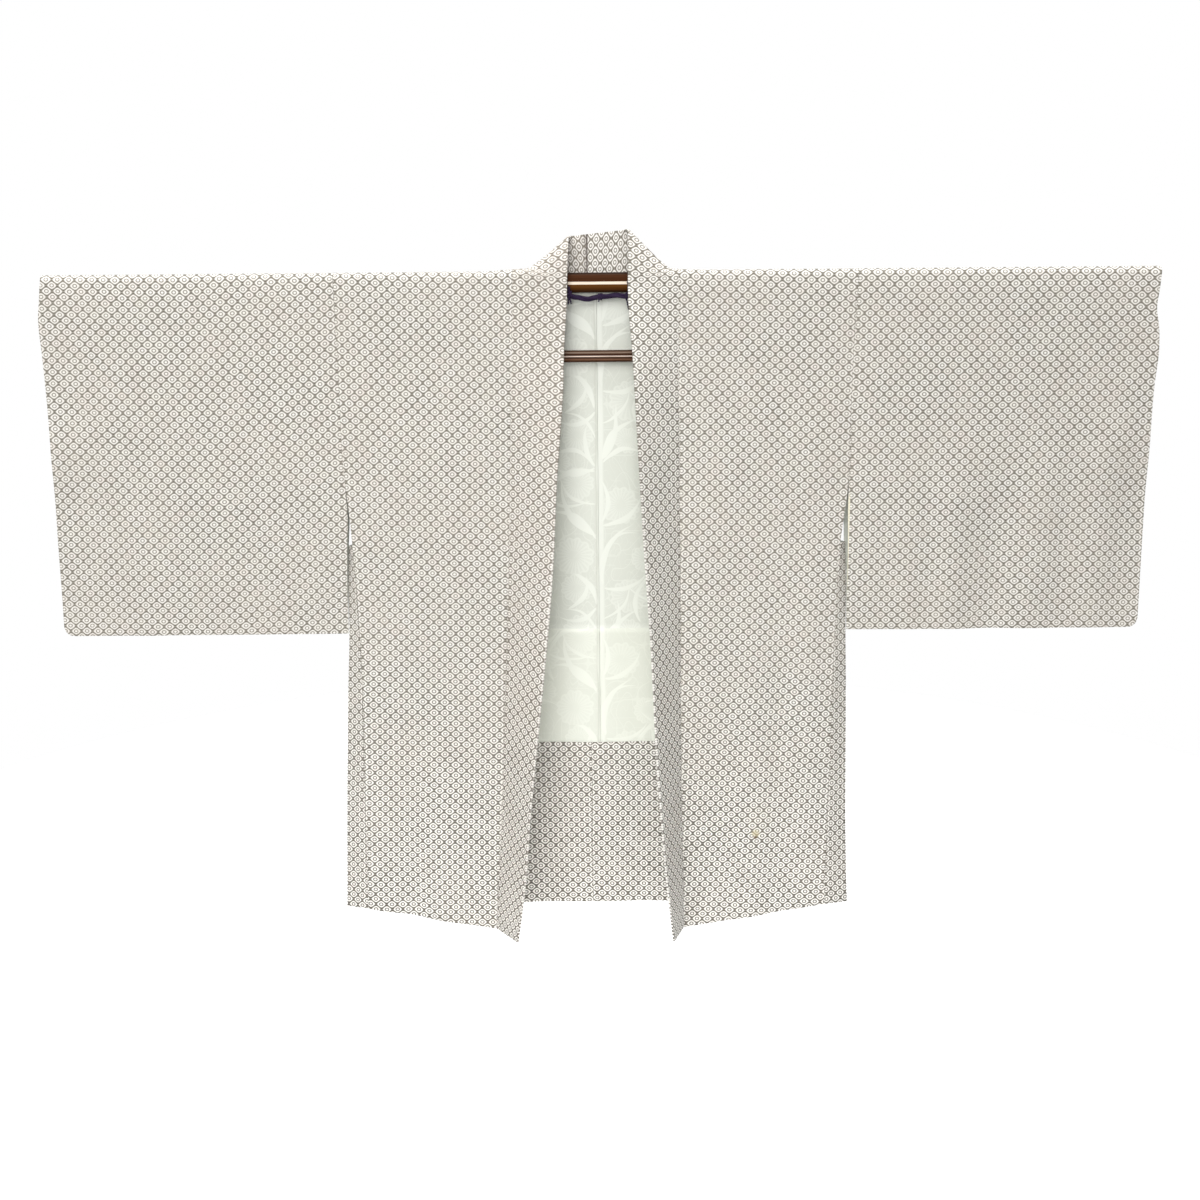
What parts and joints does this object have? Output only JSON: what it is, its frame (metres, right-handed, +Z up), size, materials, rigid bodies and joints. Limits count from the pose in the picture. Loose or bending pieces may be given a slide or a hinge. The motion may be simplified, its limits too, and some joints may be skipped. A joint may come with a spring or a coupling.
{
  "type": "haori jacket on a kimono hanger",
  "caption": "Lined haori jacket with wide open sleeves and a long open collar, hung spread flat on a straight two-bar kimono hanger with cords.",
  "frame": {"origin": "middle of the top face of the hanger's top bar, where the hanger is held", "axes": "+X towards the wearer's left, +Y towards the wearer's back, +Z up"},
  "size_m": [1.3314, 0.0912, 0.8753],
  "materials": {
    "outer_cloth": "matte woven silk",
    "lining": "soft satin",
    "lacquered_wood": "satin lacquer",
    "cord": "matte twisted cord"
  },
  "bodies": {
    "root": {"body_panel_r": "outer_cloth", "body_panel_l": "outer_cloth", "sleeve_r": "outer_cloth", "sleeve_l": "outer_cloth", "machi_r": "outer_cloth", "machi_l": "outer_cloth", "collar_r": "outer_cloth", "collar_l": "outer_cloth", "hem_facing_r": "outer_cloth", "hem_facing_l": "outer_cloth", "lining_back_r": "lining", "lining_back_l": "lining", "hanger_bar": "lacquered_wood", "lower_bar": "lacquered_wood", "side_cord_r": "cord", "side_cord_l": "cord", "swag_cord_r": "cord", "swag_cord_l": "cord", "cord_knot": "cord"}
  },
  "joints": []
}
